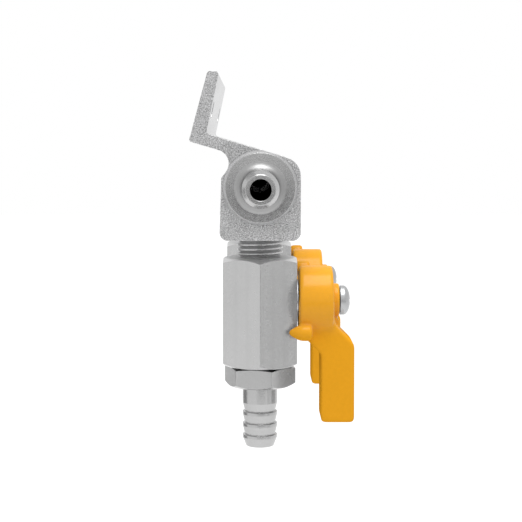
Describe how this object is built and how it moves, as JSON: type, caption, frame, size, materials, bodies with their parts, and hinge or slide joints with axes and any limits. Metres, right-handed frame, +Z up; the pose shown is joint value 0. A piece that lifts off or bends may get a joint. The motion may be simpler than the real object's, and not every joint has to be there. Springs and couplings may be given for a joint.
{
  "type": "ball valve manifold",
  "caption": "Wall-mounted gas or air manifold bar with a barbed hose inlet and quarter-turn ball valves, each with a cast lever handle and a barbed hose outlet.",
  "frame": {"origin": "middle of the flange face that lies on the wall", "axes": "+X away from the wall and along the valve stems, +Y along the bar from the inlet to the plugged end, +Z up"},
  "size_m": [0.0463, 0.1152, 0.107],
  "materials": {
    "blasted_bar": "blasted",
    "nickel_plate": "satin nickel plate",
    "yellow_paint": "gloss paint on a zinc casting",
    "zinc_steel": "bright zinc plate",
    "polished_ball": "polished",
    "white_seat": "matt",
    "black_rubber": "matt",
    "soft_washer": "matt"
  },
  "bodies": {
    "manifold": {"manifold_bar": "blasted_bar", "inlet_hose_tail": "nickel_plate", "inlet_washer": "soft_washer", "end_plug": "nickel_plate", "end_plug_washer": "soft_washer", "front_valve_body": "nickel_plate", "front_hose_tail": "nickel_plate", "front_tail_o_ring": "black_rubber", "front_upper_seat": "white_seat", "front_lower_seat": "white_seat", "front_stem_washer": "white_seat", "rear_valve_body": "nickel_plate", "rear_hose_tail": "nickel_plate", "rear_tail_o_ring": "black_rubber", "rear_upper_seat": "white_seat", "rear_lower_seat": "white_seat", "rear_stem_washer": "white_seat"},
    "front_lever": {"front_handle": "yellow_paint", "front_handle_screw": "zinc_steel", "front_stem": "nickel_plate", "front_stem_o_ring": "black_rubber", "front_ball": "polished_ball"},
    "rear_lever": {"rear_handle": "yellow_paint", "rear_handle_screw": "zinc_steel", "rear_stem": "nickel_plate", "rear_stem_o_ring": "black_rubber", "rear_ball": "polished_ball"}
  },
  "joints": [
    {"name": "front_lever_turn", "type": "hinge", "parent": "manifold", "child": "front_lever", "pos_m": [0.01709, -0.03, -0.05523], "axis": [1, 0, 0], "range_deg": [-90, 0]},
    {"name": "rear_lever_turn", "type": "hinge", "parent": "manifold", "child": "rear_lever", "pos_m": [0.01709, 0.03, -0.05523], "axis": [1, 0, 0], "range_deg": [-90, 0]}
  ]
}
